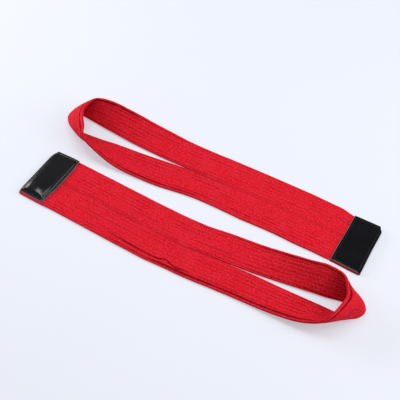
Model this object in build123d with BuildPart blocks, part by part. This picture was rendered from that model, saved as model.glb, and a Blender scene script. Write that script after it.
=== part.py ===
"""A pair of horizontal bar wrist loop straps, lying side by side, head to tail.

Each strap is one long quilted cotton belt. Its two ends lie side by side and are joined edge to edge
into a double-width tail, and its middle stays open as the wrist loop. A leather tab binds the ends.
Units are millimetres. +Z is up, the straps lie on Z = 0, and the origin is the middle of their footprint.
"""

import os
from build123d import *

os.makedirs("parts", exist_ok=True)

# Belt
BELT_WIDTH = 39.6  # finished width of the quilted belt
SEAM_GAP = 0.2  # from a belt edge to the line where the two edges meet
PLY = 1.5  # thickness of each quilted cotton ply
CORE = 0.8  # thickness of the core strip
CORE_WIDTH = 34.0  # the core stops short of the belt's edges
PLY_GAP = 0.1  # loft left between a ply and the core
BELT = 2 * PLY + CORE + 2 * PLY_GAP  # whole thickness
SECTIONS_PER_SPAN = 2  # ruled sections between two stations of the loop

# Stitching
THREAD = 0.5  # width of a thread line
THREAD_PROUD = 0.25  # how far a thread stands out of the cloth
ROWS = 8  # rows of quilting along the belt
ROW_PITCH = 5.0
SEAM_WIDTH = 3.4  # throw of the zigzag over the butted edges
SEAM_PITCH = 2.0  # length of one zig
SEAM_START = 3.0  # from the loop's mouth to the zigzag's first stitch
TACK_LENGTH = 16.0
TACK_WIDTH = 4.0

# Leather tab
LEATHER = 1.1
TAB_LENGTH = 40.0
TAB_WIDTH = 81.2
TAB_CLEARANCE = 0.3
TAB_STITCH_INSET = 3.0
TAIL_END = 237.4  # from the loop's mouth to the cut ends of the belt
TAB_MOUTH = TAIL_END - TAB_LENGTH + LEATHER  # the belt is up to the lower leaf here
RAMP = 6.0  # the belt climbs onto the tab's lower leaf over this length
LIFT = LEATHER + TAB_CLEARANCE  # height of the belt inside the tab
FLAT_TAIL = (0.25, 0.5)  # stations of the flat stretch of the tail, as shares of its length

# Where each strap's mouth, the point where the two belt ends part, lies on the floor.
MOUTH_A = (-21.0, 55.4)
MOUTH_B = (16.0, -56.2)

# Each strap has its own frame: origin at the mouth, +X towards the loop's end, +Y to the left.
# A station is a point of the belt's inner edge, next to the opening, and of its outer edge.
# They run out along the right-hand side of the loop, round its end and back along the left.
LOOP_A = [
    ((0, 0, 0), (0, -40, 0)),
    ((43, 1.4, 0), (43, -38.4, 2.4)),
    ((81, 1, 0), (80, -37.8, 7.6)),
    ((120, -1.2, 0), (117, -38.8, 12.6)),
    ((151, -4.5, 0), (146, -37, 22)),
    ((178, -8.3, 0), (170, -31.5, 30.5)),
    ((203, -11.5, 0.4), (186, -27, 33)),
    ((218, -10.5, 2), (193.5, -21.5, 32)),
    ((224, -2, 2.8), (195.4, -8.8, 33)),
    ((220, 8, 2.6), (192.4, 5, 33.5)),
    ((208, 15.5, 1.2), (185.6, 17.4, 35)),
    ((191, 17.5, 0), (176.5, 32, 35)),
    ((173, 17.5, 0), (169, 43.2, 30)),
    ((158, 16.5, 0), (155, 48.2, 24)),
    ((138, 13.5, 0), (135, 50.5, 14.5)),
    ((111, 10.5, 0), (110, 50.4, 4.6)),
    ((77, 7, 0), (79, 47.6, 0.8)),
    ((38, 2.9, 0), (40, 43, 0)),
    ((0, 0, 0), (0, 40, 0)),
]
LOOP_B = [
    ((0, 0, 0), (0, -40, 0)),
    ((55, 3, 0), (55, -37.4, 0)),
    ((90, 4.2, 0), (90, -36.2, 0.6)),
    ((118, 4.4, 0), (119, -36.2, 2.4)),
    ((140, 4.4, 0), (141, -35.8, 5.6)),
    ((164, 4.6, 0), (164, -34.2, 10.4)),
    ((183, 4.6, 0), (181.5, -31.6, 17)),
    ((197, 4.4, 0), (192.5, -28.6, 23.6)),
    ((210, 4.6, 0.5), (200.4, -19.8, 31)),
    ((220, 8.1, 1.6), (205, -8.6, 33)),
    ((226.5, 14.6, 2.5), (207, 2.6, 33)),
    ((229, 22.6, 2.8), (207, 11.8, 33.4)),
    ((226.5, 28.6, 2.5), (205.4, 20, 34)),
    ((218, 29.4, 1.4), (201.8, 27.4, 35.4)),
    ((205, 27, 0), (195, 36.8, 36.4)),
    ((190, 23.6, 0), (184, 43.8, 34.4)),
    ((178, 20.4, 0), (173.5, 47.6, 29)),
    ((166, 18, 0), (164, 52.2, 20.6)),
    ((155, 16, 0), (152, 53.6, 13.4)),
    ((137, 13.2, 0), (132, 52.2, 9)),
    ((116, 10.1, 0), (111, 49.4, 7.6)),
    ((90, 6.8, 0), (87, 46.6, 5.6)),
    ((55, 3.7, 0), (53, 43.6, 3.4)),
    ((0, 0, 0), (0, 40, 0)),
]
# The seam line of the tail, from the mouth back to the cut ends.
SEAM_A = [(0, 0), (-45, -0.7), (-120, -0.7), (-TAIL_END, 0)]
SEAM_B = [(0, 0), (-50, 0.8), (-100, 2.8), (-TAIL_END, 9)]

STRAPS = {
    "strap_a": (LOOP_A, SEAM_A, Plane((*MOUTH_A, 0), x_dir=(-1, 0, 0), z_dir=(0, 0, 1))),
    "strap_b": (LOOP_B, SEAM_B, Plane((*MOUTH_B, 0), x_dir=(1, 0, 0), z_dir=(0, 0, 1))),
}


def seam_line(seam):
    """The seam as a smooth curve in the strap's own frame."""
    return Edge.make_spline([Vector(x, y, 0) for x, y in seam])


def tail_stations(seam, side):
    """Stations from the mouth to the cut ends, on one side of the seam (-1 right, +1 left)."""
    line = seam_line(seam)
    mouth = TAB_MOUTH / TAIL_END
    levels = [(along, 0) for along in FLAT_TAIL]
    levels += [(mouth - RAMP / TAIL_END, 0), (mouth, LIFT), (1, LIFT)]
    stations = []
    for along, height in levels:
        inner = line @ along + Vector(0, 0, height)
        across = (line % along).cross(Vector(0, 0, 1)) * side
        stations.append((inner, inner + across * BELT_WIDTH))
    return stations


def loop_stations(loop):
    """Stations of the loop, filled in along splines through its two edges."""
    inner = [Vector(*pair[0]) for pair in loop]
    outer = [Vector(*pair[1]) for pair in loop]
    walked = [0.0]
    for k in range(1, len(loop)):
        step = (inner[k] - inner[k - 1]).length + (outer[k] - outer[k - 1]).length
        walked.append(walked[-1] + step)
    knots = [w / walked[-1] for w in walked]
    inner_edge = Edge.make_spline(inner, parameters=knots)
    outer_edge = Edge.make_spline(outer, parameters=knots)
    stations = []
    for k in range(len(knots) - 1):
        for part in range(SECTIONS_PER_SPAN):
            u = knots[k] + (knots[k + 1] - knots[k]) * part / SECTIONS_PER_SPAN
            point = inner_edge.position_at(u, position_mode=PositionMode.PARAMETER)
            rim = outer_edge.position_at(u, position_mode=PositionMode.PARAMETER)
            stations.append((point, rim))
    stations.append((inner[-1], outer[-1]))
    return stations


def belt_stations(loop, seam):
    """Every station of the belt, from one cut end round the loop to the other."""
    right = tail_stations(seam, -1)
    left = tail_stations(seam, 1)
    return right[::-1] + loop_stations(loop) + left


def belt_planes(stations, frame):
    """A plane across the belt at each station: X from its inner edge, Y up through it."""
    planes = []
    last = len(stations) - 1
    for k, (inner, outer) in enumerate(stations):
        before, after = stations[max(k - 1, 0)], stations[min(k + 1, last)]
        along = (after[0] - before[0]).normalized() + (after[1] - before[1]).normalized()
        across = (outer - inner).normalized()
        along = (along - across * along.dot(across)).normalized()
        local = Plane(inner, x_dir=across, z_dir=-along)
        planes.append(Plane(frame.location * local.location))
    return planes


def save(piece, name):
    piece.part.label = name
    export_step(piece.part, f"parts/{name}.step")


def make_strip(name, planes, width, low, high):
    """A strip of cloth that follows the belt, from one height in its thickness to another."""
    with BuildPart() as strip:
        for plane in planes:
            with BuildSketch(plane):
                with Locations((SEAM_GAP + BELT_WIDTH / 2, (low + high) / 2)):
                    Rectangle(width, high - low)
        loft(ruled=True)
    save(strip, name)


def make_rows(name, planes):
    """The rows of quilting thread, which follow the belt side by side on its face."""
    with BuildPart() as rows:
        for row in range(ROWS):
            offset = SEAM_GAP + BELT_WIDTH / 2 + (row - (ROWS - 1) / 2) * ROW_PITCH
            with BuildPart(mode=Mode.PRIVATE) as thread:
                for plane in planes:
                    with BuildSketch(plane):
                        with Locations((offset, BELT + THREAD_PROUD / 2)):
                            Rectangle(THREAD, THREAD_PROUD)
                loft(ruled=True)
            add(thread.part)
    save(rows, name)


def make_belt(strap, planes):
    """The two quilted plies, the core between them and the rows of quilting thread."""
    core = PLY + PLY_GAP
    make_strip(f"{strap}_back_ply", planes, BELT_WIDTH, 0, PLY)
    make_strip(f"{strap}_core", planes, CORE_WIDTH, core, core + CORE)
    make_strip(f"{strap}_face_ply", planes, BELT_WIDTH, BELT - PLY, BELT)
    make_rows(f"{strap}_row_stitching", planes)


def make_seam(strap, seam, frame):
    """The zigzag that joins the butted belt ends, and the bar tack that stops it at the mouth."""
    line = seam_line(seam)
    length = TAB_MOUTH - RAMP - SEAM_START
    count = int(length / SEAM_PITCH)
    corners = []
    for k in range(count):
        along = (SEAM_START + k * SEAM_PITCH) / TAIL_END
        throw = SEAM_WIDTH / 2 if k % 2 else -SEAM_WIDTH / 2
        corners.append(line @ along + (line % along).rotate(Axis.Z, 90) * throw)
    with BuildPart() as zigzag:
        with BuildSketch(frame.offset(BELT)):
            with BuildLine():
                Polyline(*[(c.X, c.Y) for c in corners])
            trace(line_width=THREAD)
        extrude(amount=THREAD_PROUD)
    save(zigzag, f"{strap}_seam_zigzag")

    with BuildPart() as bar_tack:
        with BuildSketch(frame.offset(BELT + THREAD_PROUD)):
            with Locations((-TACK_LENGTH / 2, 0)):
                SlotOverall(TACK_LENGTH, TACK_WIDTH)
        extrude(amount=THREAD_PROUD)
    save(bar_tack, f"{strap}_bar_tack")


def make_tab(strap, seam, frame):
    """The leather tab, folded over the cut ends, and the thread round its upper leaf."""
    line = seam_line(seam)
    end, heading = line @ 1, line % 1
    tab = Plane(frame.location * Plane(end, x_dir=heading, z_dir=(0, 0, 1)).location)
    height = BELT + 2 * LIFT
    outer_end = LEATHER + TAB_CLEARANCE
    start = outer_end - TAB_LENGTH
    profile = Plane(tab.origin, x_dir=tab.x_dir, z_dir=-tab.y_dir)
    with BuildPart() as end_tab:
        with BuildSketch(profile):
            with Locations((start, 0)):
                Rectangle(TAB_LENGTH, height, align=(Align.MIN, Align.MIN))
            with Locations((start, LEATHER)):
                Rectangle(
                    TAB_LENGTH - LEATHER,
                    height - 2 * LEATHER,
                    align=(Align.MIN, Align.MIN),
                    mode=Mode.SUBTRACT,
                )
        extrude(amount=TAB_WIDTH / 2, both=True)
        outermost = end_tab.edges().group_by(Axis(tab.origin, tab.x_dir))[-1]
        fillet(outermost.filter_by(Axis(tab.origin, tab.y_dir)), LEATHER)
    save(end_tab, f"{strap}_end_tab")

    inset = TAB_STITCH_INSET
    with BuildPart() as tab_stitching:
        with BuildSketch(tab.offset(height)):
            with Locations(((start + outer_end) / 2, 0)):
                Rectangle(TAB_LENGTH - 2 * inset, TAB_WIDTH - 2 * inset)
                Rectangle(
                    TAB_LENGTH - 2 * inset - 2 * THREAD,
                    TAB_WIDTH - 2 * inset - 2 * THREAD,
                    mode=Mode.SUBTRACT,
                )
        extrude(amount=THREAD_PROUD)
    save(tab_stitching, f"{strap}_tab_stitching")


for strap, (loop, seam, frame) in STRAPS.items():
    planes = belt_planes(belt_stations(loop, seam), frame)
    make_belt(strap, planes)
    make_seam(strap, seam, frame)
    make_tab(strap, seam, frame)
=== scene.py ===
"""Looks of a pair of quilted horizontal bar wrist straps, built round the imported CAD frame.

Each strap is one long quilted cotton belt, doubled into a flat tail and left open as a wrist loop, with a
leather tab over its cut ends. Shapes are worked out in millimetres in a strap's own frame: origin at the
loop's mouth, +X towards the loop's end, +Y to the left. They are turned into metres when a mesh is made.
"""

import math

import bpy
import numpy as np
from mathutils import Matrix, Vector


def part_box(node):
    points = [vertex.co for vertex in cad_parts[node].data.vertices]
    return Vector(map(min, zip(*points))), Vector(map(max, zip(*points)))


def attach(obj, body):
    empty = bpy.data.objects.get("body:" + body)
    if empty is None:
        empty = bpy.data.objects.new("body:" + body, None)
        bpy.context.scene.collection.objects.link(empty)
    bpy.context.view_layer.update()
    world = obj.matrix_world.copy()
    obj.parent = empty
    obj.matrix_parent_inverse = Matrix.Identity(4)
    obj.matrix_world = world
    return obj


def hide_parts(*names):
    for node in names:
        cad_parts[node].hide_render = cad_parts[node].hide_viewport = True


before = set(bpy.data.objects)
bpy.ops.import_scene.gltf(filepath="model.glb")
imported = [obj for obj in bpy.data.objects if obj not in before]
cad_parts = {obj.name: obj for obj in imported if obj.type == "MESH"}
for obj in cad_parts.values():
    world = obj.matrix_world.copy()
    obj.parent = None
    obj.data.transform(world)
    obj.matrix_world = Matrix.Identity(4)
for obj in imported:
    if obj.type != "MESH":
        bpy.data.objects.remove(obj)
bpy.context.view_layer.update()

MM = 0.001
SEED = 7

# Belt, in millimetres
WIDTH = 39.6  # finished width of the belt
SEAM_GAP = 0.2  # from a belt edge to the line where the two edges meet
BELT = 4.0  # whole thickness
CORE_LOW, CORE_HIGH = 1.6, 2.4
CORE_WIDTH = 34.0
STEP = 1.0  # spacing of the cross sections along the belt
WALK_POINTS = 6000  # points at which the belt's length is measured
TAIL_END = 237.4  # from the loop's mouth to the cut ends
RAMP = 6.0  # the belt climbs onto the tab's lower leaf over this length
OVERHANG = 1.4  # the tab's fold stands out past the cut ends by this much

# Quilting
ROWS = 8
ROW_PITCH = 5.0
FIRST_ROW = 2.5
LAST_ROW_IN = 1.2  # the last row keeps clear of the outer edge's bead by this much
BEAD = 1.4  # width of a ply's rounded edge
STITCH = 3.0  # stitch length of the rows
ROW_PHASE = 0.37  # share of a stitch that each row is shifted from the last
THREAD_RADIUS = 0.2
DEEPEST = 1.3  # a crease in the cloth stops above the core
ZIG_PITCH = 1.5
ZIG_THROW = 2.1  # from the seam to a turn of the zigzag
ZIG_START = 1.0  # from the loop's mouth to the first turn
TACK_LENGTH = 16.0
TACK_WIDTH = 4.4
TACK_PITCH = 0.42
TACK_THREAD = 0.24  # radius of the tack's thicker thread

ROW_AT = FIRST_ROW + ROW_PITCH * np.arange(ROWS)
ROW_AT[-1] -= LAST_ROW_IN

# Leather tab
LEATHER = 1.1
TAB_CLEAR = 0.1  # between the belt and a leaf
TRIM_LENGTH = 12.0  # a trimmed corner of the tab starts this far from its end
TAB_LENGTH = 40.0
TAB_WIDTH = 81.2
TAB_HEIGHT = 6.8
TAB_INSET = 3.0  # stitch line inside the tab's edge
TAB_STITCH = 3.2
TAB_THREAD = 0.26  # radius of the tab's thread
TAB_BEND = 3.1  # depth of the fold round the cut ends
NO_SIDE = -1  # none of the tab's four lines of stitches gets the pale thread of a painted glint

# A station is a point of the belt's inner edge, next to the opening, and of its outer edge, and where the
# cloth is arched between them, how far it arches outwards. The stations run out along the right-hand side
# of the loop, round its end and back along the left.
LOOP_A = [
    ((0, 0, 0), (0, -40, 0)),
    ((43, 1.4, 0), (43, -38.4, 2.4)),
    ((81, 1, 0), (80, -37.8, 7.6)),
    ((120, -1.2, 0), (117, -38.8, 12.6)),
    ((151, -4.5, 0), (146, -37, 22)),
    ((178, -8.3, 0), (170, -31.5, 30.5)),
    ((203, -11.5, 0.4), (186, -27, 33)),
    ((218, -10.5, 2), (193.5, -21.5, 32), 2),
    ((224, -2, 2.8), (195.4, -8.8, 33), 2.5),
    ((220, 8, 2.6), (192.4, 5, 33.5), 4),
    ((208.3, 16.8, 1.2), (185.6, 17.4, 35), 6.5),
    ((191.3, 18.4, 0), (174.9, 31.1, 35), 9),
    ((173, 17.6, 0), (168, 42.9, 30), 6.5),
    ((158, 16.5, 0), (155, 48.2, 24), 2),
    ((138, 13.5, 0), (135, 50.5, 14.5)),
    ((111, 10.5, 0), (110, 50.4, 4.6)),
    ((77, 7, 0), (79, 47.6, 0.8)),
    ((38, 2.9, 0), (40, 43, 0)),
    ((0, 0, 0), (0, 40, 0)),
]
LOOP_B = [
    ((0, 0, 0), (0, -40, 0)),
    ((55, 3, 0), (55, -37.4, 0)),
    ((90, 4.2, 0), (90, -36.2, 0.6)),
    ((118, 4.4, 0), (119, -36.2, 2.4)),
    ((140, 4.4, 0), (141, -35.8, 5.6)),
    ((164, 4.6, 0), (164, -34.2, 10.4)),
    ((183, 4.6, 0), (181.5, -31.6, 17), 1.5),
    ((197, 4.4, 0), (192.5, -28.6, 23.6), 4),
    ((210, 4.6, 0.5), (200.4, -19.8, 31), 4),
    ((220.8, 7.6, 1.6), (205, -8.6, 33), 3),
    ((227.7, 13.9, 2.5), (207, 2.6, 33), 3),
    ((230.3, 22.2, 2.8), (207, 11.8, 33.4), 5),
    ((227.6, 28.9, 2.5), (205.4, 20, 34), 5.5),
    ((218, 29.4, 1.4), (201.8, 27.4, 35.4), 4.5),
    ((205, 27, 0), (195, 36.8, 36.4), 3.5),
    ((190, 23.6, 0), (184, 43.8, 34.4), 1.5),
    ((178, 20.4, 0), (173.5, 47.6, 29)),
    ((166, 18, 0), (164, 52.2, 20.6)),
    ((155, 16, 0), (152, 53.6, 13.4)),
    ((137, 13.2, 0), (132, 52.2, 9)),
    ((116, 10.1, 0), (111, 49.4, 7.6)),
    ((90, 6.8, 0), (87, 46.6, 5.6)),
    ((55, 3.7, 0), (53, 43.6, 3.4)),
    ((0, 0, 0), (0, 40, 0)),
]
SEAM_A = [(0, 0), (-45, -0.7), (-120, -0.7), (-TAIL_END, 0)]
SEAM_B = [(0, 0), (-50, 0.8), (-100, 2.8), (-TAIL_END, 9)]


# -------- curves and noise


def spline(points, knots, at):
    """The natural cubic spline through points at knots, at the given parameters."""
    points, knots = np.asarray(points, float), np.asarray(knots, float)
    gap = np.diff(knots)
    count = len(knots)
    system = np.eye(count)
    rhs = np.zeros_like(points)
    slope = np.diff(points, axis=0) / gap[:, None]
    for k in range(1, count - 1):
        system[k, k - 1 : k + 2] = gap[k - 1], 2 * (gap[k - 1] + gap[k]), gap[k]
        rhs[k] = 6 * (slope[k] - slope[k - 1])
    bend = np.linalg.solve(system, rhs)
    k = np.clip(np.searchsorted(knots, at, side="right") - 1, 0, count - 2)
    a = ((knots[k + 1] - at) / gap[k])[:, None]
    b = 1 - a
    h = gap[k][:, None]
    curve = (a**3 - a) * bend[k] + (b**3 - b) * bend[k + 1]
    return a * points[k] + b * points[k + 1] + curve * h**2 / 6


def unit(vectors):
    return vectors / np.linalg.norm(vectors, axis=-1, keepdims=True)


def ease(t):
    return t * t * (3 - 2 * t)


def smooth(x, low, high):
    """0 up to low, 1 from high, and a smooth step between them."""
    return ease(np.clip((x - low) / (high - low), 0, 1))


def plateau(x, start, full, fall, end):
    """0 up to start and from end, 1 from full to fall."""
    return smooth(x, start, full) * (1 - smooth(x, fall, end))


def bump_at(x, centre, width):
    return np.exp(-(((x - centre) / width) ** 2))


def noise(rng, x, cell):
    """Smooth 1D noise from -1 to 1 along x, with bumps about a cell long."""
    k = np.floor(x / cell).astype(int)
    t = ease(x / cell - k)
    k = k - k.min()
    values = rng.uniform(-1, 1, k.max() + 2)
    return values[k] * (1 - t) + values[k + 1] * t


def noise2(rng, x, y, cell_x, cell_y):
    """Smooth 2D noise from -1 to 1 on the grid of the two coordinate rows x and y."""
    kx, ky = np.floor(x / cell_x).astype(int), np.floor(y / cell_y).astype(int)
    tx, ty = ease(x / cell_x - kx), ease(y / cell_y - ky)
    kx, ky = kx - kx.min(), ky - ky.min()
    values = rng.uniform(-1, 1, (kx.max() + 2, ky.max() + 2))
    low = values[kx][:, ky] * (1 - ty) + values[kx][:, ky + 1] * ty
    high = values[kx + 1][:, ky] * (1 - ty) + values[kx + 1][:, ky + 1] * ty
    return low * (1 - tx[:, None]) + high * tx[:, None]


# -------- the straps' own frames


def strap_place(name):
    """The mouth of a strap's loop in millimetres, and 1 or -1 for the way that its +X points."""
    low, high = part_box(f"{name}_bar_tack")
    tab_low, tab_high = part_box(f"{name}_end_tab")
    way = 1 if tab_low.x + tab_high.x < low.x + high.x else -1
    mouth = high.x if way > 0 else low.x
    return np.array([mouth, (low.y + high.y) / 2, 0]) / MM, way


def seam_points(seam, at):
    """Points of a tail's seam at distances from the mouth, and the headings towards the mouth there."""
    knots = [-x for x, _ in seam]
    stations = [(x, y, 0) for x, y in seam]
    little = 0.01
    points = spline(stations, knots, at)
    return points, unit(points - spline(stations, knots, at + little))


def left_of(heading):
    """The level directions to the left of some level headings."""
    return np.column_stack([-heading[:, 1], heading[:, 0], np.zeros(len(heading))])


def tail_stations(seam, side):
    """Stations from the mouth to the cut ends, on one side of the seam (-1 right, +1 left)."""
    inner, heading = seam_points(seam, TAIL_END * np.array([0.125, 0.25, 0.5, 0.75, 1]))
    return list(zip(inner, inner + side * left_of(heading) * (WIDTH + SEAM_GAP)))


class Belt:
    """A strap's belt: its inner edge line, and the directions across it and up through it."""

    def __init__(self, name, loop, seam, shape):
        self.seam, self.shape = seam, shape
        self.mouth, self.way = strap_place(name)
        stations = tail_stations(seam, -1)[::-1] + loop + tail_stations(seam, 1)
        inner = np.array([pair[0] for pair in stations], float)
        outer = np.array([pair[1] for pair in stations], float)
        step = np.linalg.norm(np.diff(inner, axis=0), axis=1)
        step += np.linalg.norm(np.diff(outer, axis=0), axis=1)
        knots = np.concatenate([[0], np.cumsum(step)])
        fine = np.linspace(0, knots[-1], WALK_POINTS)
        edge, rim = spline(inner, knots, fine), spline(outer, knots, fine)
        middle = (edge + rim) / 2
        walked = np.linalg.norm(np.diff(middle, axis=0), axis=1)
        walked = np.concatenate([[0], np.cumsum(walked)])
        self.length = walked[-1]
        self.s = np.linspace(0, self.length, int(round(self.length / STEP)) + 1)
        param = np.interp(self.s, walked, fine)
        self.inner = spline(inner, knots, param)
        self.inner[:, 2] = np.maximum(self.inner[:, 2], 0)
        rim = spline(outer, knots, param)
        self.across = unit(rim - self.inner)
        arch = np.array([pair[2] if len(pair) > 2 else 0.0 for pair in stations])
        self.arch = np.maximum(spline(arch[:, None], knots, param)[:, 0], 0)
        along = unit(np.gradient((self.inner + rim) / 2, axis=0))
        self.up = unit(np.cross(self.across, along))

    def in_tail(self):
        """1 where the belt's two inner edges are sewn together, 0 in the loop."""
        from_end = np.minimum(self.s, self.length - self.s)
        sewn, free = TAIL_END - 12, TAIL_END + 4
        return 1 - smooth(from_end, sewn, free)

    def at(self, s, field):
        """The value at distances s of a field of vectors along the belt."""
        return np.stack([np.interp(s, self.s, field[:, k]) for k in range(3)], axis=-1)

    def point(self, s, x, t):
        """Points at distances s along the belt, x across from its inner edge line and t up through it."""
        s, x, t = np.broadcast_arrays(s, x, t)
        share = np.clip(x / (WIDTH + 2 * SEAM_GAP), 0, 1)
        arched = np.interp(s, self.s, self.arch) * 4 * share * (1 - share)
        flat = self.at(s, self.inner) + self.at(s, self.across) * x[..., None]
        return self.into_tab(flat + self.at(s, self.up) * (t - arched)[..., None])

    def into_tab(self, points):
        """The belt ends spread a little, then squeezed into the room between the tab's two leaves."""
        origin, out, left = tab_frame(self)
        tab_x, tab_y = (points - origin) @ out, (points - origin) @ left
        shape = self.shape
        inside = smooth(tab_x, OVERHANG - TAB_LENGTH - RAMP, OVERHANG - TAB_LENGTH + 1)
        room = upper_leaf(tab_x, tab_y, shape) - 2 * LEATHER - 2 * TAB_CLEAR
        height = LEATHER + TAB_CLEAR + points[..., 2] * np.minimum(room / BELT, 1)
        lifted = points[..., 2] * (1 - inside) + height * inside
        lifted = np.where(tab_x > -TAIL_END / 2, lifted, points[..., 2])
        cut = -shape["trim"](tab_y) * smooth(tab_x, -TRIM_LENGTH, 0)
        cut = np.where(tab_x > -TRIM_LENGTH, cut, 0)
        spread = shape["spread"](tab_x, tab_y)
        moved = points + out * cut[..., None] + left * spread[..., None]
        return np.concatenate([moved[..., :2], lifted[..., None]], axis=-1)

    def turned(self, vectors):
        """Vectors in the strap's own millimetres as vectors in the shared frame's metres."""
        return vectors * [self.way, self.way, 1] * MM

    def world(self, points):
        """Points in the strap's own millimetres as metres in the shared frame."""
        return self.turned(points) + self.mouth * MM


# -------- meshes


def new_mesh(name, points, faces, uv=None):
    mesh = bpy.data.meshes.new(name)
    mesh.from_pydata([tuple(p) for p in points], [], faces)
    if uv is not None:
        layer = mesh.uv_layers.new(name="UVMap")
        layer.data.foreach_set("uv", np.asarray(uv, np.float32).ravel())
    mesh.update()
    mesh.shade_smooth()
    obj = bpy.data.objects.new(name, mesh)
    bpy.context.scene.collection.objects.link(obj)
    return obj


def tube_quads(rings, size):
    """The faces of a tube of rings with size points each."""
    k, j = np.meshgrid(np.arange(rings - 1), np.arange(size), indexing="ij")
    after = (j + 1) % size
    quads = [k * size + j, (k + 1) * size + j, (k + 1) * size + after, k * size + after]
    return np.stack(quads, axis=-1).reshape(-1, 4)


def ring_strip(name, points, along, across, fold=None):
    """A closed tube of cross sections: points[k, j] is point j of ring k. The UVs are metres, and the last
    argument is how much painted shade darkens each point, in creases, grooves and needle holes, from 0 to 1."""
    rings, size = points.shape[:2]
    quads = tube_quads(rings, size)
    ends = [list(range(size)), list(range((rings - 1) * size, rings * size))[::-1]]
    uv_points = np.stack(np.broadcast_arrays(along[:, None], across[None, :]), axis=-1).reshape(-1, 2) * MM
    order = np.concatenate([quads.ravel(), ends[0], ends[1]]).astype(int)
    obj = new_mesh(name, points.reshape(-1, 3), quads.tolist() + ends, uv_points[order])
    if fold is not None:
        # the painted shade of the cloth's creases, grooves and needle holes, read by its material
        layer = obj.data.attributes.new("fold", "FLOAT", "POINT")
        layer.data.foreach_set("value", np.asarray(fold, np.float32).ravel())
    return obj


def capsules(name, centre, across, up, radius):
    """Many short threads as one mesh: centre[i, k] is point k of thread i's own line, across and up are the
    directions of its section there, and radius[k] is its radius."""
    count, rings = centre.shape[:2]
    sides = 5
    first_turn = 0.3
    turn = np.arange(sides) * 2 * math.pi / sides + first_turn
    ring = across[:, :, None] * np.cos(turn)[:, None] + up[:, :, None] * np.sin(turn)[:, None]
    points = centre[:, :, None] + ring * np.asarray(radius)[None, :, None, None]
    base = np.arange(count)[:, None, None] * rings * sides
    quads = tube_quads(rings, sides)[None] + base
    first = np.arange(sides)[None, :] + base[:, :, 0]
    last = np.arange(rings * sides - 1, rings * sides - 1 - sides, -1)[None, :] + base[:, :, 0]
    faces = quads.reshape(-1, 4).tolist() + first.tolist() + last.tolist()
    return new_mesh(name, points.reshape(-1, 3), faces)


def level_threads(belt, name, centre, radius):
    """Short threads that run about level, from their lines in the strap's own millimetres."""
    run = unit(np.gradient(centre, axis=1))
    up = np.broadcast_to([0.0, 0.0, 1.0], run.shape)
    side = unit(np.cross(up, run))
    return capsules(name, belt.world(centre), belt.turned(side), belt.turned(up), radius)


# -------- the quilted plies


def nearest_row(x):
    """The quilting row nearest to each place across the belt, and how far away it is."""
    away = np.abs(x[:, None] - ROW_AT[None, :])
    return away.argmin(axis=1), away.min(axis=1)


def top_columns():
    """Places across the belt where the cloth's surface has points: close together at each row."""
    low, high = BEAD, 2 * SEAM_GAP + WIDTH - BEAD
    offsets = np.array([-1.8, -1.1, -0.62, -0.28, 0, 0.28, 0.62, 1.1, 1.8])
    columns = [[low + 0.05], (ROW_AT[1:] + ROW_AT[:-1]) / 2, (ROW_AT[:, None] + offsets).ravel()]
    columns = np.sort(np.concatenate(columns))
    return columns[(columns >= low) & (columns <= high)]


def row_noise(rng, s, cell, share, other_cell):
    """Noise along each quilting row: one column per row, from bumps of two lengths."""
    rows = [noise(rng, s, cell) + share * noise(rng, s, other_cell) for _ in range(ROWS)]
    return np.stack(rows, axis=1)


def puffed_channels(belt, x, near, rng):
    """How far the padded channels between the rows lie below the full thickness."""
    channel = np.searchsorted(ROW_AT, x)
    puff = np.sin(np.clip(near / (ROW_PITCH / 2), 0, 1) * math.pi / 2) ** 0.8
    fullness = np.stack([noise(rng, belt.s, 17) for _ in range(ROWS + 1)], axis=1)[:, channel]
    outermost = (channel == 0) | (channel == ROWS)
    least = 0.05
    swell = 0.09 + 0.07 * fullness + 0.12 * outermost
    return least + swell * (1 - puff)


def row_grooves(belt, row, squeeze, face):
    """How deep the thread of each row pulls the cloth down: deepest in the rows next to the rims."""
    tail = belt.in_tail()[:, None]
    depth = 0.07 + np.where(row == 0, 0.22, 0.05) * (1 - tail) + 0.08 * squeeze
    depth = depth + 0.85 * belt.shape["rim_row"](belt.s, belt.length)[:, None] * (row == ROWS - 1)
    if face:
        depth = depth + belt.shape["deep_row"](belt.s, belt.length)[:, None] * (row == ROWS - 2)
    return depth


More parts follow.
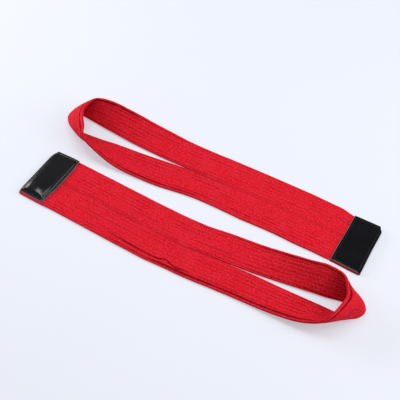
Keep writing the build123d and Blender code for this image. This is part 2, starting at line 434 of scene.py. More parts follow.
def cloth_depth(belt, x, rng, face):
    """How far the cloth lies below the belt's full thickness at each section and column, and how much
    painted shade darkens it there, in creases, grooves and needle holes."""
    s, tail = belt.s, belt.in_tail()[:, None]
    row, near = nearest_row(x)
    ridges, squeeze = pucker(belt, x) if face else (0, 0)
    channels = puffed_channels(belt, x, near, rng)

    # Each row's groove, pulled tighter in some places than in others
    pull = row_noise(rng, s, 7, 0.5, 30)[:, row]
    width = np.select([row == ROWS - 1, (row == 0) | (row == ROWS - 2)], [1.15, 0.75], 0.45)
    groove = np.maximum(row_grooves(belt, row, squeeze, face) * (1 + 0.4 * pull), 0)
    groove = groove * bump_at(near, 0, width)

    # Needle holes at the ends of the stitches, dimpled and darkened by painted shade, and a faint painted
    # shade line between them
    holes = (s[:, None] / STITCH - ROW_PHASE * row[None, :]) % 1
    beside = np.minimum(holes, 1 - holes) * STITCH
    pits = bump_at(beside, 0, 0.8) * bump_at(near, 0, 0.7)
    fade = row_noise(rng, s, 22, 0.6, 5)[:, row]
    shown = np.clip(0.46 + 0.5 * fade, 0, 1.0) + np.where(row == 0, 0.3 * tail, 0.1 * (1 - tail))
    line = bump_at(near, 0, 0.6) * (1 - 0.8 * tail * (row == 0))

    # Fine and broad wrinkles
    fine = noise2(rng, s, x, 2.2, 3.0) + 0.7 * noise2(rng, s, x, 1.3, 1.6)
    wrinkle = 0.05 + 0.05 * fine + 0.12 * noise2(rng, s, x, 24, 9)
    depth = channels + groove + 0.16 * pits + wrinkle
    shallow = 0.13
    # painted shade: darkest in the deeper grooves, with spots in the needle holes and a faint line along
    # each row
    fold = 1.9 * np.maximum(groove - shallow, 0) + shown * (0.9 * pits + 0.27 * line)
    if face:
        depth = depth + 0.42 * squeeze * ridges
        # painted shade in the hollows between the pucker's ridges
        fold = fold + 0.75 * squeeze * ridges**2
    if face and "crease" in belt.shape:
        crease_depth, crease_fold = belt.shape["crease"](s[:, None], x[None, :])
        depth, fold = depth + crease_depth, fold + crease_fold
    return np.clip(depth, 0, DEEPEST), np.clip(fold, 0, 1)


def pucker(belt, x):
    """Slanted ridges where the cloth is squeezed on the inside of the loop's bend, from 0 on a ridge to 1
    between two, and how much it is squeezed there."""
    s = belt.s[:, None]
    squeeze, pitch, slant, crossed = belt.shape["pucker"](s)
    turned = np.where(np.searchsorted(ROW_AT, x) % 2, -1, 1) if crossed else 1
    wobble = noise2(np.random.default_rng(SEED + 60), belt.s, x, 9, 6)
    turns = (s + turned * slant * x[None, :]) / pitch + 0.35 * wobble
    return 0.5 - 0.5 * np.cos(turns * 2 * math.pi), squeeze


def edge_arc():
    """The rounded edge of one ply from its inner face to its outer one, as (inward, above the middle)."""
    turn = np.radians([200, 180, 160, 138, 116, 98])
    inward = 1.3 + 1.3 * np.cos(turn)
    above = 0.95 + 0.85 * np.sin(turn)
    above[:3] = 0.12, 0.45, 0.95
    inward[:3] = 0.85, 0.18, 0.0
    return inward, above


def ply(belt, name, face):
    """One quilted ply as a closed strip, and how deep its cloth lies. The face ply is on top in the tail."""
    rng = np.random.default_rng(SEED + (0 if face else 1) + (0 if belt.way > 0 else 2))
    s, half = belt.s, BELT / 2
    low, high = SEAM_GAP, SEAM_GAP + WIDTH
    top = top_columns()
    inward, above = edge_arc()
    size = len(inward)
    near_edge, far_edge = slice(0, size), slice(size + len(top), 2 * size + len(top))
    under, under_height = np.array([1.0, 2.5, 3.4]), np.array([0.04, 0.04, 0.5])
    middle, middle_height = np.array([10.0, 20.0, 30.0]), np.full(3, 0.5)
    across = np.concatenate(
        [low + inward, top, high - inward[::-1], high - under, middle[::-1], low + under[::-1]]
    )
    depth, dark = cloth_depth(belt, top, rng, face)
    closed = belt.in_tail()[:, None]

    # Heights above the belt's middle: both rounded edges fit the quilted surface, and the rest lies flat
    reach = 0.97 / above.max()
    near_height = above * (half - depth[:, :1]) * reach
    near_height = np.maximum(near_height, near_height[:, -1:] * 0.96 * closed * (inward > 0))
    far_height = above[::-1] * (half - depth[:, -1:]) * reach
    level = np.concatenate([under_height, middle_height, under_height[::-1]])
    level = np.broadcast_to(level, (len(s), len(level)))
    heights = np.concatenate([near_height, half - depth, far_height, level], axis=1)

    # Places across: the edges waver a little, and the tail's inner edges are butted against the seam
    near_wave = (0.12 * noise(rng, s, 9) + 0.08 * noise(rng, s, 3))[:, None] * (1 - closed)
    far_wave = (0.12 * noise(rng, s, 9) + 0.08 * noise(rng, s, 3))[:, None]
    butted = np.array([-0.85, -0.33, -0.2, -0.43, -0.65, -0.55])
    x = np.tile(across, (len(s), 1))
    x[:, near_edge] += np.maximum(near_wave, -0.15) * np.linspace(1, 0.3, size) + closed * butted
    x[:, far_edge] -= np.maximum(far_wave, -0.15) * np.linspace(0.3, 1, size)
    t = half + heights if face else half - heights
    points = belt.world(belt.point(s[:, None], x, t))

    # Painted shade: the creases of the cloth's surface, and the notch between the plies at both edges
    fold = np.zeros(points.shape[:2])
    fold[:, size : size + len(top)] = dark
    fold[:, [0, far_edge.stop - 1]] = 1 - 0.8 * closed
    if not face:
        points[..., 2] = np.maximum(points[..., 2], 0)
        points, across, fold = points[:, ::-1], across[::-1], fold[:, ::-1]
    return ring_strip(name, points, s, across, fold), depth


def core(belt, name):
    """The woven strip between the plies, slightly crowned across each cord."""
    s = belt.s[::2]
    low = SEAM_GAP + (WIDTH - CORE_WIDTH) / 2
    x = np.linspace(low, low + CORE_WIDTH, 35)
    crown = 0.06
    cord = crown * np.cos((x - low) * math.pi) - crown
    across = np.concatenate([x, x[::-1]])
    t = np.concatenate([CORE_HIGH + cord, CORE_LOW - cord[::-1]])
    points = belt.world(belt.point(s[:, None], across[None, :], t[None, :]))
    return ring_strip(name, points, s, across)


def row_stitches(belt, name, face, depth):
    """Every stitch of the quilting rows on one face, each a short thread that dives in at both ends."""
    rng = np.random.default_rng(SEED + 20 + face)
    top = top_columns()
    along = np.linspace(-0.5, 0.5, 5)
    dive = np.array([0.30, 0.06, 0.0, 0.06, 0.30])
    radius = THREAD_RADIUS * np.array([0.45, 0.92, 1.0, 0.92, 0.45])
    proud = 0.13
    centres, places = [], []
    for row in range(ROWS):
        start = (ROW_PHASE * row) % 1 * STITCH
        middle = np.arange(start + STITCH / 2, belt.length - STITCH / 2, STITCH)
        length = STITCH * rng.uniform(0.80, 0.92, len(middle))
        s = middle[:, None] + along * length[:, None]
        x = ROW_AT[row] + rng.uniform(-0.07, 0.07, len(middle))[:, None]
        x = x + rng.uniform(-0.16, 0.16, len(middle))[:, None] * along
        column = np.abs(top - ROW_AT[row]).argmin()
        ground = np.interp(middle, belt.s, depth[:, column])[:, None]
        t = BELT - ground + proud - dive
        if not face:
            t = np.maximum(BELT - t, THREAD_RADIUS)
        centres.append(belt.point(s, x, t))
        places.append(s)
    centre, s = np.concatenate(centres), np.concatenate(places)
    side, up = belt.at(s, belt.across), belt.at(s, belt.up)
    return capsules(name, belt.world(centre), belt.turned(side), belt.turned(up), radius)


def seam_places(belt, distance, across):
    """Points at distances from the mouth along a tail's seam, and at distances to the left of it."""
    point, heading = seam_points(belt.seam, distance.ravel())
    return (point + left_of(heading) * across.reshape(-1, 1)).reshape(*distance.shape, 3)


def seam_stitches(belt, name):
    """The zigzag over the butted edges of the tail, on its upper and its lower side."""
    rng = np.random.default_rng(SEED + 40)
    at = np.arange(ZIG_START, TAIL_END - 2, ZIG_PITCH)
    throw = np.where(np.arange(len(at)) % 2, ZIG_THROW, -ZIG_THROW) * rng.uniform(0.94, 1.04, len(at))
    share = np.array([0.02, 0.25, 0.5, 0.75, 0.98])
    distance = at[:-1, None] + (at[1:] - at[:-1])[:, None] * share
    across = throw[:-1, None] + (throw[1:] - throw[:-1])[:, None] * share
    upper = seam_places(belt, distance, across)
    upper[..., 2] = BELT + np.array([-0.4, 0.0, -0.1, 0.0, -0.4])
    lower = upper.copy()
    lower[..., 2] = THREAD_RADIUS + 0.02
    centre = belt.into_tab(np.concatenate([upper, lower]))
    return level_threads(belt, name, centre, THREAD_RADIUS * np.array([0.5, 1.0, 1.0, 1.0, 0.5]))


def bar_tack(belt, name):
    """The dense satin stitching that stops the seam at the mouth of the loop."""
    rng = np.random.default_rng(SEED + 50)
    count = int(TACK_LENGTH / TACK_PITCH)
    at = (np.arange(count) + 0.5) * TACK_PITCH
    share = np.linspace(-0.5, 0.5, 7)
    width = TACK_WIDTH * rng.uniform(0.9, 1.06, count)
    width *= np.where((at < 1) | (at > TACK_LENGTH - 1), 0.85, 1)
    lean = TACK_PITCH * np.where(np.arange(count) % 2, 0.5, -0.5)
    distance = at[:, None] + lean[:, None] * share * 2
    across = width[:, None] * share
    centre = seam_places(belt, distance, across)
    rise = 0.42 * np.cos(share * math.pi) ** 0.6 + rng.uniform(-0.03, 0.03, (count, 1))
    centre[..., 2] = BELT - 0.25 + rise
    radius = TACK_THREAD * np.array([0.6, 0.95, 1.1, 1.1, 1.1, 0.95, 0.6])
    return level_threads(belt, name, centre, radius)


# -------- the leather tab


def tab_frame(belt):
    """Origin at the middle of the cut ends, X outward, Y to the left of it, in the strap's millimetres."""
    point, heading = seam_points(belt.seam, np.array([TAIL_END]))
    out = -heading[0]
    return point[0], out, np.array([-out[1], out[0], 0])


def upper_leaf(x, y, shape):
    """Height of the upper leaf's outer face over the tab, where x runs outward and y across."""
    start, end = OVERHANG - TAB_LENGTH, OVERHANG
    side = TAB_WIDTH / 2 - np.abs(y)
    edge = np.minimum(np.minimum(x - start, end - x), side)
    padded = shape["dome"](x, y) * smooth(edge, TAB_INSET, TAB_INSET + 6)
    stitched = 0.4 * bump_at(edge, TAB_INSET, 0.55)
    thinned = 1.2 * (1 - smooth(side, 0, 7)) + 0.4 * (1 - smooth(x - start, 0, 5))
    rounded = 0.15 * (1 - smooth(edge, 0.0, 1.6))
    return TAB_HEIGHT - 0.6 + padded - stitched - thinned - rounded


def sheet_faces(rows, columns):
    """Faces of a closed sheet whose outer points, row by row, come before its inner ones: those of the two
    sides, and then those of the cut edge all round."""
    offset = rows * columns
    k, j = np.meshgrid(np.arange(rows - 1), np.arange(columns - 1), indexing="ij")
    a = k * columns + j
    outer = np.stack([a, a + columns, a + columns + 1, a + 1], -1).reshape(-1, 4)
    k = np.arange(rows - 1) * columns
    j = np.arange(columns - 1)
    near = np.stack([k, k + offset, k + columns + offset, k + columns], -1)
    far = np.stack([k, k + columns, k + columns + offset, k + offset], -1) + columns - 1
    front = np.stack([j, j + 1, j + 1 + offset, j + offset], -1)
    back = np.stack([j, j + offset, j + 1 + offset, j + 1], -1) + (rows - 1) * columns
    return np.concatenate([outer, outer[:, ::-1] + offset]), np.concatenate([near, far, front, back])


def make_tab(belt, name):
    """The leather tab as one closed sheet, folded over the belt's cut ends."""
    shape = belt.shape
    half = TAB_WIDTH / 2
    start, end = OVERHANG - TAB_LENGTH, OVERHANG

    # Rows and columns of points lie closer together at the mouth, round the fold and at the sides
    leaf = np.concatenate([np.linspace(0, 1.5, 5), np.linspace(2.0, TAB_LENGTH - TAB_BEND - 0.4, 84)])
    turn = np.linspace(math.pi / 2, -math.pi / 2, 17)
    above, bent = slice(0, len(leaf)), slice(len(leaf), len(leaf) + len(turn))
    fold_x = end - TAB_BEND + TAB_BEND * np.abs(np.cos(turn)) ** 0.75
    path_x = np.concatenate([start + leaf, fold_x, (start + leaf)[::-1]])
    side = np.linspace(half - 5, half, 16)
    y = np.concatenate([-side[::-1], np.linspace(-half + 5.6, half - 5.6, 110), side])
    x, across = np.meshgrid(path_x, y, indexing="ij")

    # Heights of the outer and inner faces, and how far out each point lies
    upper = upper_leaf(x, across, shape)
    at_fold = upper_leaf(np.full_like(x, end - TAB_BEND), across, shape)
    rise = (1 + np.sign(np.sin(turn)) * np.abs(np.sin(turn)) ** 0.85) / 2
    outer, inner = np.zeros_like(x), np.full_like(x, LEATHER)
    outer[above] = upper[above]
    outer[bent] = at_fold[bent] * rise[:, None]
    inner[above] = upper[above] - LEATHER
    inner[bent] += (at_fold[bent] - 2 * LEATHER) * rise[:, None]
    inner_x = x.copy()
    inner_x[bent] -= LEATHER * np.abs(np.cos(turn))[:, None]
    shift = shape["wave"](across[above]) * (1 - smooth(x[above] - start, 0, 6))
    x[above] += shift
    inner_x[above] += shift
    x = x - shape["trim"](across) * smooth(x, end - TRIM_LENGTH, end)
    inner_x = inner_x - shape["trim"](across) * smooth(inner_x, end - TRIM_LENGTH, end)

    origin, out, left = tab_frame(belt)
    narrowed = np.concatenate([np.ones(len(leaf)), 0.4 + 0.6 * rise, np.full(len(leaf), 0.4)])[:, None]

    def placed(px, pz):
        py = across + shape["spread"](px, across) + shape["narrow"](across) * narrowed
        return origin + px[..., None] * out + py[..., None] * left + pz[..., None] * [0, 0, 1]

    rows, columns = x.shape
    points = np.concatenate([placed(x, outer).reshape(-1, 3), placed(inner_x, inner).reshape(-1, 3)])
    sides, cut = sheet_faces(rows, columns)
    faces = np.concatenate([sides, cut])
    walked = np.concatenate([[0], np.cumsum(np.abs(np.diff(path_x)) + 0.02)])
    uv_points = np.stack(np.meshgrid(walked, y, indexing="ij"), -1).reshape(-1, 2) * MM
    uv = np.concatenate([uv_points, uv_points])[faces.ravel()]
    obj = new_mesh(name, belt.world(points), faces.tolist(), uv)

    # The cut edge, and the skived bands beside it, show the raw leather
    raw = np.zeros(len(faces), np.int32)
    raw[len(sides) :] = 1
    skived = raw[: (rows - 1) * (columns - 1)].reshape(rows - 1, columns - 1)
    skived[:2] = 1
    skived[above, [0, 1, -2, -1]] = 1
    obj.data.polygons.foreach_set("material_index", raw)
    return obj


def tab_stitches(belt, name):
    """The stitches round the tab's leaves, above and below. Those along one side may get a pale grey thread:
    a painted glint.
    """
    origin, out, left = tab_frame(belt)
    half = TAB_WIDTH / 2 - TAB_INSET
    start, end = OVERHANG - TAB_LENGTH + TAB_INSET, OVERHANG - TAB_INSET
    corners = [(start, -half), (end, -half), (end, half), (start, half), (start, -half)]
    dash = 0.74 * TAB_STITCH * np.array([-0.5, -0.3, 0, 0.3, 0.5])
    centres, runs, sides_of = [], [], []
    for number, (corner, following) in enumerate(zip(corners, corners[1:])):
        length = math.dist(corner, following)
        count = int(round(length / TAB_STITCH))
        direction = (np.array(following) - corner) / length
        along = (np.arange(count)[:, None] + 0.5) * length / count + dash
        centres.append(corner + along[..., None] * direction)
        runs.append(np.broadcast_to(direction, centres[-1].shape))
        sides_of += [number] * count
    flat, run = np.concatenate(centres), np.concatenate(runs)
    flat[..., 0] -= belt.shape["trim"](flat[..., 1]) * smooth(flat[..., 0], OVERHANG - TRIM_LENGTH, OVERHANG)
    x, y = flat[..., 0], flat[..., 1]
    placed_y = y + belt.shape["spread"](x, y) + belt.shape["narrow"](y)
    level = origin + x[..., None] * out + placed_y[..., None] * left
    up = np.broadcast_to([0.0, 0.0, 1.0], level.shape)
    above = upper_leaf(x, y, belt.shape) + np.array([-0.28, 0.08, 0.16, 0.08, -0.28])
    below = np.full_like(above, 0.22)
    side = run[..., :1] * left - run[..., 1:] * out
    centre = belt.world(np.concatenate([level + above[..., None] * up, level + below[..., None] * up]))
    sides, ups = (belt.turned(np.concatenate([part, part])) for part in (side, up))
    obj = capsules(name, centre, sides, ups, TAB_THREAD * np.array([0.5, 0.95, 1.0, 0.95, 0.5]))
    # the upper stitches of one side get the pale thread that paints a glint on them
    painted_glint = np.concatenate([np.equal(sides_of, belt.shape["worn_side"]), np.zeros(len(sides_of))])
    per_stitch = len(obj.data.polygons) // len(painted_glint)
    obj.data.polygons.foreach_set("material_index", np.repeat(painted_glint.astype(np.int32), per_stitch))
    return obj


# -------- materials


class Nodes:
    """Shorthand for building a material's node tree."""

    def __init__(self, name):
        self.material = bpy.data.materials.new(name)
        self.material.use_nodes = True
        self.tree = self.material.node_tree
        self.tree.nodes.clear()
        output = self.add("ShaderNodeOutputMaterial")
        self.shader = self.add("ShaderNodeBsdfPrincipled")
        self.link(self.shader.outputs[0], output.inputs[0])

    def add(self, kind, **settings):
        node = self.tree.nodes.new(kind)
        for key, value in settings.items():
            setattr(node, key, value)
        return node

    def link(self, source, target):
        if isinstance(source, bpy.types.NodeSocket):
            self.tree.links.new(source, target)
        else:
            target.default_value = source

    def set(self, node, **values):
        """Set or link a node's inputs by their names."""
        for key, value in values.items():
            self.link(value, node.inputs[key.replace("_", " ")])

    def fill(self, node, *values):
        """Set or link a node's first inputs, and give its first output."""
        for socket, value in zip(node.inputs, values):
            self.link(value, socket)
        return node.outputs[0]

    def surface(self, colour, roughness, normal, **values):
        self.set(self.shader, Base_Color=colour, Roughness=roughness, Normal=normal, **values)
        return self.material

    def math(self, operation, a, b=0.0):
        return self.fill(self.add("ShaderNodeMath", operation=operation), a, b)

    def times(self, a, b):
        return self.math("MULTIPLY", a, b)

    def inverse(self, a):
        return self.math("SUBTRACT", 1.0, a)

    def step(self, value, low, high, to_low=0.0, to_high=1.0):
        node = self.add("ShaderNodeMapRange", interpolation_type="SMOOTHSTEP")
        return self.fill(node, value, low, high, to_low, to_high)

    def ribs(self, value, pitch, low, high):
        return self.step(self.math("PINGPONG", value, pitch), low, high)

    def mix(self, factor, a, b):
        node = self.add("ShaderNodeMix", data_type="RGBA")
        for socket, value in zip((0, 6, 7), (factor, a, b)):
            self.link(value, node.inputs[socket])
        return node.outputs[2]

    def noise(self, vector, scale, detail=2.0, roughness=0.5):
        node = self.add("ShaderNodeTexNoise")
        self.set(node, Vector=vector, Scale=scale, Detail=detail, Roughness=roughness)
        return node.outputs["Fac"]

    def combine(self, x, y):
        return self.fill(self.add("ShaderNodeCombineXYZ"), x, y)

    def position(self):
        return self.add("ShaderNodeNewGeometry").outputs["Position"]

    def in_mm(self, vector):
        """The first two coordinates of a place given in metres, in millimetres."""
        split = self.add("ShaderNodeSeparateXYZ")
        self.fill(split, vector)
        return [self.times(split.outputs[k], 1 / MM) for k in range(2)]

    def uv_mm(self):
        """The two UV coordinates, in millimetres: along the belt and across it."""
        return self.in_mm(self.add("ShaderNodeUVMap", uv_map="UVMap").outputs[0])

    def bump(self, height, distance, strength, normal=None):
        node = self.add("ShaderNodeBump")
        self.set(node, Distance=distance, Strength=strength, Height=height)
        if normal is not None:
            self.set(node, Normal=normal)
        return node.outputs[0]


def cotton(name, base, shade, light):
    """Quilted cotton twill: diagonal ribs with painted shade in their troughs, painted shade in creases and
    needle holes, lighter flecks that are partly painted sheen, brighter worn edges.
    """
    n = Nodes(name)
    along, across = n.uv_mm()
    # painted shade of the creases, grooves and needle holes, kept on the mesh's points
    fold = n.add("ShaderNodeAttribute", attribute_name="fold").outputs["Fac"]
    cloth = n.combine(along, across)
    twill_at = n.math("ADD", n.times(along, 0.80), n.times(across, 0.60))
    twill_at = n.math("ADD", twill_at, n.times(n.noise(cloth, 0.45, 3), 0.9))
    rib = n.ribs(twill_at, 0.62, 0.05, 0.5)
    yarn_at = n.math("SUBTRACT", along, n.times(across, 0.4))
    yarn = n.ribs(yarn_at, 0.28, 0, 0.24)
    weave = n.times(rib, n.math("ADD", n.times(yarn, 0.35), 0.65))

    patch = n.noise(cloth, 0.05, 4, 0.6)
    grain = n.noise(n.combine(n.times(along, 0.7), across), 0.66, 2, 0.6)
    fleck = n.noise(n.combine(n.times(along, 0.45), across), 0.85, 2, 0.7)
    fuzz = n.noise(cloth, 3.2, 3, 0.7)
    from_middle = n.math("ABSOLUTE", n.math("SUBTRACT", across, SEAM_GAP + WIDTH / 2))
    edge = n.step(from_middle, WIDTH / 2 - 1.6, WIDTH / 2 - 0.4)
    # the colour of the painted shade in creases, grooves and needle holes
    deep = (shade[0] * 0.37, shade[1] * 0.4, shade[2] * 0.4, 1)

    colour = n.mix(n.times(n.step(patch, 0.35, 0.7), 0.25), base, light)
    # random lighter, whiter flecks: partly the yarn's own tone, partly painted sheen
    colour = n.mix(n.step(grain, 0.50, 0.62), colour, light)
    colour = n.mix(n.times(n.step(grain, 0.48, 0.36), 0.30), colour, shade)
    colour = n.mix(n.times(n.step(fleck, 0.56, 0.66), 0.50), colour, shade)
    # painted shade in the troughs between the twill's ribs
    colour = n.mix(n.times(n.inverse(weave), 0.22), colour, shade)
    colour = n.mix(n.times(edge, 0.25), colour, light)
    # painted shade in creases, grooves and needle holes
    colour = n.mix(n.step(fold, 0.05, 0.85), colour, deep)
    normal = n.bump(weave, 0.00016, 0.85)
    normal = n.bump(fuzz, 0.00012, 0.5, normal)
    sheen = {"Sheen_Weight": 0.03, "Sheen_Roughness": 0.45, "Sheen_Tint": (1.0, 0.35, 0.42, 1)}
    return n.surface(colour, n.step(fuzz, 0.2, 0.8, 0.78, 0.95), normal, Specular_IOR_Level=0.07, **sheen)


def woven_core(name, base, shade):
    """Plain woven cotton: threads that run along and across."""
    n = Nodes(name)
    along, across = n.uv_mm()
    warp = n.ribs(across, 0.5, 0.05, 0.4)
    weft = n.ribs(along, 0.4, 0.05, 0.35)
    weave = n.times(warp, weft)
    patch = n.noise(n.combine(along, across), 0.3, 3)
    # painted shade in the gaps between the threads, over a random patchy tone
    colour = n.mix(weave, shade, n.mix(patch, shade, base))
    rough = n.step(patch, 0.3, 0.7, 0.8, 0.95)
    return n.surface(colour, rough, n.bump(weave, 0.0002, 0.8), Specular_IOR_Level=0.15)


def thread(name, base, shade, ply_mm, rough, shine):
    """Spun thread: fine slanted plies with painted shade between them, and small changes of colour."""
    n = Nodes(name)
    where = n.position()
    x, y = n.in_mm(where)
    turn = n.math("ADD", x, n.times(y, 0.7))
    twist = n.ribs(turn, ply_mm, 0.0, ply_mm * 0.9)
    tone = n.noise(where, 900, 3, 0.6)
    colour = n.mix(n.step(tone, 0.3, 0.7), shade, base)
    # painted shade in the grooves between the thread's plies
    colour = n.mix(n.times(n.inverse(twist), 0.4), colour, shade)
    roughness = n.step(tone, 0.2, 0.8, rough, rough + 0.15)
    return n.surface(colour, roughness, n.bump(twist, 0.00008, 0.7), Specular_IOR_Level=shine)


def leather(name, rough, shine, relief):
    """Black leather: pebbled grain with painted shade in its crevices, fine creases, duller and lighter
    where it is worn.
    """
    n = Nodes(name)
    where = n.position()
    cells = n.add("ShaderNodeTexVoronoi", feature="DISTANCE_TO_EDGE")
    n.set(cells, Vector=where, Scale=1100, Randomness=0.9)
    grain = n.step(cells.outputs["Distance"], 0.0, 0.22)
    crease = n.noise(where, 160, 5, 0.65)
    patch = n.noise(where, 45, 4, 0.6)
    colour = n.mix(n.times(n.step(patch, 0.4, 0.8), 0.6), BLACK, WORN_BLACK)
    # painted shade in the crevices round the grain's pebbles
    colour = n.mix(n.times(n.inverse(grain), 0.35), colour, GRAIN_SHADE_BLACK)
    normal = n.bump(grain, 0.00009, 0.6 * relief)
    normal = n.bump(crease, 0.0005, 0.35 * relief, normal)
    roughness = n.step(crease, 0.3, 0.75, rough, rough * 1.3)
    return n.surface(colour, roughness, normal, Specular_IOR_Level=shine)


def raw_edge(name):
    """The cut edge of the leather: grey-green fibres under a thin dark finish."""
    n = Nodes(name)
    fibre = n.noise(n.position(), 1400, 4, 0.7)
    colour = n.mix(n.step(fibre, 0.3, 0.7), DARK_FIBRE, PALE_FIBRE)
    return n.surface(colour, n.step(fibre, 0.3, 0.7, 0.7, 0.9), n.bump(fibre, 0.0002, 0.7))


def paper(name):
    """The pale, softly glowing table top, with a very faint unevenness."""
    n = Nodes(name)
    colour = n.mix(n.noise(n.position(), 3, 2), (0.37, 0.4, 0.435, 1), (0.39, 0.42, 0.455, 1))
    n.set(n.shader, Base_Color=colour, Roughness=0.85, Specular_IOR_Level=0.1)
    n.set(n.shader, Emission_Color=(0.935, 0.92, 1.0, 1), Emission_Strength=0.425)
    return n.material


# -------- one strap


# Along the belt, s is the distance from the cut end of the tail's right half and x the one across from its
# inner edge. Over the tab, x runs outward from the cut ends and y to the left of that.


def crease_b(s, x):
    """The outer channels of strap B's tail sag away from the rest behind a crease with a kink in it. The
    second value is painted shade in the crease and over the sagging outer band.
    """
    line = 30.3 + 1.8 * smooth(s, 135, 200) - 2.8 * bump_at(s, 222, 6) + 1.2 * bump_at(s, 240, 7)
    strength = plateau(s, 105, 180, 240, 264)
    cut = bump_at(x, line, 0.9)
    depth = strength * (0.8 * cut + 0.55 * smooth(x, line, line + 1.5))
    return depth, strength * (cut + 0.5 * smooth(x, 35, 37.5))


def deep_row_a(s, length):
    """The last row but one is pulled in deeper along strap A's far arm."""
    return 0.30 * plateau(s, length - 300, length - 250, length - 90, length - 40)


def deep_row_b(s, _):
    return 0.10 * plateau(s, 240, 300, 400, 460)


def rim_row_a(s, length):
    """The outermost row is pulled in deepest, so that the rim stands out as a bead round the loop."""
    return 0.12 + 0.60 * plateau(s, 325, 400, length - 290, length - 200)


def rim_row_b(s, length):
    bead = plateau(s, 198, 222, length - 330, length - 240)
    return 0.08 + 0.92 * bead * (1 - 0.6 * smooth(s, 490, 530))


def pucker_a(s):
    """Fine slanted ribs on the inside of strap A's far arm: strength, pitch, slant, herringbone or not."""
    return 0.24 * plateau(s, 340, 380, 430, 460), 8.0, -3.0, False


def pucker_b(s):
    """Herringbone puckers on the inside of strap B's far arm, and faint ones on its near arm."""
    strength = 0.95 * plateau(s, 455, 490, 550, 650) + 0.50 * plateau(s, 360, 410, 450, 475)
    return strength, 5.6, 2.2, True


def flat_dome(x, y):
    return 0.15 * bump_at(y, 0, 30) * bump_at(x, -18, 16)


def puffed_dome(x, y):
    """Strap B's tab is puffed up over the belt ends, highest towards one corner."""
    return 0.45 + 2.2 * bump_at(y, 24, 12) * bump_at(x, -17, 13) + 0.3 * bump_at(y, -10, 24)


def trim_a(y):
    """How much is missing at the tab's outer end: strap A's has one trimmed corner."""
    return 4.2 * smooth(y, TAB_WIDTH / 2 - 9, TAB_WIDTH / 2 + 1) - 1.2 * smooth(-y, -10, 40)


def trim_b(y):
    return 0.8 * smooth(np.abs(y), TAB_WIDTH / 2 - 4, TAB_WIDTH / 2) + 2.4 * smooth(-y, 26, 41)


def narrow_a(y):
    """Strap A's upper leaf stops a little short of the belt on its near side."""
    return 1.4 * smooth(-y, 15, 40)


def narrow_b(y):
    """Strap B's upper leaf stops short of the belt on its near side, so a sliver of red shows."""
    return -3.2 * smooth(y, 15, 40)


def wave_a(y):
    """How far the mouth of the tab's upper leaf stands back from a straight line."""
    return 0.15 * np.sin(y / 9)


def wave_b(y):
    bow = 2.6 * smooth(y, 8, 42) + 1.2 * smooth(-y, 18, 42) - 1.1 * (1 - smooth(-y, 25, 42))
    return bow + 0.4 * np.sin(y / 2.9) * smooth(y, -2, 12)


def spread_a(x, y):
    """The end of strap A's tail swings a little to its near side, and its cloth is stretched a little."""
    far = np.clip(y / TAB_WIDTH + 0.5, 0, 1)
    near = 1.3 + 1.7 * smooth(x, OVERHANG - TAB_LENGTH, OVERHANG)
    swing = -4.6 * far * smooth(x, -62, -36) - near * (1 - far) * smooth(x, -80, -38)
    wider = 1.2 * smooth(y, 0, 40) * plateau(x, -385, -350, -110, -60)
    bulges = 3.0 * bump_at(x, -290, 36) + 1.2 * bump_at(x, -165, 25) + 1.0 * bump_at(x, -85, 20)
    return swing + wider - bulges * smooth(-y, 5, 42)


def spread_b(x, y):
    """Strap B's belt lies spread out a little on both sides."""
    near = 2.0 * smooth(x, 6 - TAIL_END, 44 - TAIL_END) + 0.9 * smooth(x, -450, -405)
    near = near + 0.7 * bump_at(x, -275, 60) + 1.0 * smooth(x, -60, -30)
    far = 0.8 * plateau(x, -400, -360, -230, -205) + 1.0 * bump_at(x, -270, 26) - 1.3 * smooth(x, -30, 0)
    return near * smooth(y, 5, 40) - far * smooth(-y, 5, 40)


SHAPE_A = {
    "deep_row": deep_row_a,
    "rim_row": rim_row_a,
    "pucker": pucker_a,
    "dome": flat_dome,
    "trim": trim_a,
    "narrow": narrow_a,
    "worn_side": NO_SIDE,
    "wave": wave_a,
    "spread": spread_a,
}
SHAPE_B = {
    "crease": crease_b,
    "deep_row": deep_row_b,
    "rim_row": rim_row_b,
    "pucker": pucker_b,
    "dome": puffed_dome,
    "trim": trim_b,
    "narrow": narrow_b,
    # painted glint on the upper stitches of the tab's first side
    "worn_side": 0,
    "wave": wave_b,
    "spread": spread_b,
}
STRAPS = {"strap_a": (LOOP_A, SEAM_A, SHAPE_A), "strap_b": (LOOP_B, SEAM_B, SHAPE_B)}


def make_strap(strap, loop, seam, shape):
    """All pieces of one strap, with their materials, body, slots and the CAD nodes that they replace."""
    belt = Belt(strap, loop, seam, shape)

    def finish(obj, slot, node=None, materials=None):
        for item in MATERIALS[materials or slot]:
            obj.data.materials.append(item)
        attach(obj, strap)
        if node:
            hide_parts(f"{strap}_{node}")

    face, face_depth = ply(belt, f"{strap}_quilted_face", True)
    back, back_depth = ply(belt, f"{strap}_quilted_back", False)
    inside = core(belt, f"{strap}_woven_core")
    finish(face, "cotton_face", "face_ply")
    finish(back, "cotton_back", "back_ply")
    finish(inside, "core_cotton", "core")
    finish(row_stitches(belt, f"{strap}_face_stitches", True, face_depth), "red_thread", "row_stitching")
    finish(row_stitches(belt, f"{strap}_back_stitches", False, back_depth), "red_thread")
    finish(seam_stitches(belt, f"{strap}_zigzag"), "red_thread", "seam_zigzag")
    finish(bar_tack(belt, f"{strap}_tack"), "red_thread", "bar_tack", "tack_thread")
    tab = make_tab(belt, f"{strap}_leather_tab")
    finish(tab, "black_leather", "end_tab", f"{strap}_leather")
    finish(tab_stitches(belt, f"{strap}_tab_stitches"), "black_thread", "tab_stitching")


# -------- studio


def make_floor():
    size = 15.0
    corners = [(-size, -size, 0), (size, -size, 0), (size, size, 0), (-size, size, 0)]
    floor = new_mesh("floor", corners, [[0, 1, 2, 3]])
    floor.location.z = -0.0002
    floor.data.materials.append(paper("floor_paper"))


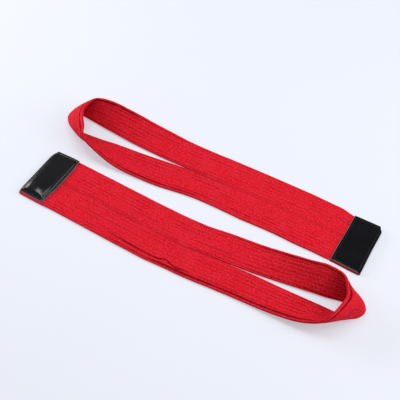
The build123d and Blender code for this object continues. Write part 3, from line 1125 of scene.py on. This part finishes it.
def area_light(name, place, size, power, colour):
    """A rectangular light that faces the frame's origin."""
    light = bpy.data.lights.new(name, "AREA")
    light.shape = "RECTANGLE"
    light.size, light.size_y = size
    light.energy = power
    light.color = colour
    obj = bpy.data.objects.new(name, light)
    obj.location = place
    obj.rotation_euler = (-Vector(place)).to_track_quat("-Z", "Y").to_euler()
    bpy.context.scene.collection.objects.link(obj)


def make_lights():
    world = bpy.data.worlds.new("studio")
    world.use_nodes = True
    background = world.node_tree.nodes["Background"]
    background.inputs[0].default_value = (0.92, 0.95, 1.0, 1)
    background.inputs[1].default_value = 0.32
    bpy.context.scene.world = world
    area_light("overhead", (0.3, 0.35, 1.6), (1.1, 0.8), 10, (1, 0.98, 0.97))
    area_light("gloss", (-0.6, 0.2, 1.6), (0.4, 0.35), 5, (1, 0.98, 0.97))
    area_light("left", (-1.4, 0.05, 0.52), (1.0, 0.6), 15, (0.98, 0.98, 1))
    area_light("right", (1.3, 0.35, 0.8), (1.1, 0.9), 14, (0.98, 0.98, 1))


def make_camera():
    camera = bpy.data.objects.new("camera", bpy.data.cameras.new("camera"))
    camera.data.lens = 81
    camera.data.sensor_width = 36
    camera.data.clip_start = 0.05
    camera.data.clip_end = 20
    camera.location = (0.33985, -0.60136, 0.944)
    elevation, azimuth = math.radians(53.0), math.radians(29.5)
    level = math.cos(elevation)
    forward = (-math.sin(azimuth) * level, math.cos(azimuth) * level, -math.sin(elevation))
    camera.rotation_euler = Vector(forward).to_track_quat("-Z", "Y").to_euler()
    bpy.context.scene.collection.objects.link(camera)
    bpy.context.scene.camera = camera


RED = (0.635, 0.004, 0.014, 1)
# a darker red: random flecks, and the base of painted shade in weave troughs and creases
DEEP_RED = (0.48, 0.0008, 0.005, 1)
# a lighter, whiter red for flecks, blotches and worn edges, its whiteness partly painted sheen
BRIGHT_RED = (0.705, 0.032, 0.058, 1)
THREAD_RED = (0.78, 0.018, 0.036, 1)
THREAD_SHADE = (0.60, 0.006, 0.016, 1)
BLACK = (0.0022, 0.0020, 0.0036, 1)
WORN_BLACK = (0.0055, 0.0055, 0.0075, 1)
# the colour of the painted shade in the leather grain's crevices
GRAIN_SHADE_BLACK = (0.002, 0.002, 0.0025, 1)
DARK_FIBRE = (0.028, 0.04, 0.043, 1)
PALE_FIBRE = (0.11, 0.15, 0.155, 1)
BLACK_THREAD = (0.05, 0.054, 0.06, 1)
BLACK_THREAD_SHADE = (0.015, 0.016, 0.018, 1)
# pale grey thread colours that paint a glint on one line of tab stitches
PAINTED_GLINT_THREAD = (0.42, 0.44, 0.47, 1)
PAINTED_GLINT_THREAD_SHADE = (0.10, 0.11, 0.12, 1)

MATERIALS = {
    "cotton_face": [cotton("cotton_face", RED, DEEP_RED, BRIGHT_RED)],
    "cotton_back": [cotton("cotton_back", RED, DEEP_RED, BRIGHT_RED)],
    "core_cotton": [woven_core("core_cotton", THREAD_RED, DEEP_RED)],
    "red_thread": [thread("red_thread", THREAD_RED, THREAD_SHADE, 0.16, 0.7, 0.2)],
    "tack_thread": [thread("tack_thread", THREAD_RED, THREAD_SHADE, 0.16, 0.6, 0.25)],
    "black_thread": [
        thread("black_thread", BLACK_THREAD, BLACK_THREAD_SHADE, 0.18, 0.4, 0.4),
        # pale thread that paints a glint on one line of tab stitches
        thread("painted_glint_thread", PAINTED_GLINT_THREAD, PAINTED_GLINT_THREAD_SHADE, 0.18, 0.4, 0.6),
    ],
    "strap_a_leather": [leather("leather_a", 0.62, 0.08, 1.0), raw_edge("leather_edge_a")],
    "strap_b_leather": [leather("leather_b", 0.17, 0.38, 0.12), raw_edge("leather_edge_b")],
}

bpy.context.scene.view_settings.view_transform = "Standard"
make_camera()
for strap, parts in STRAPS.items():
    make_strap(strap, *parts)
make_floor()
make_lights()
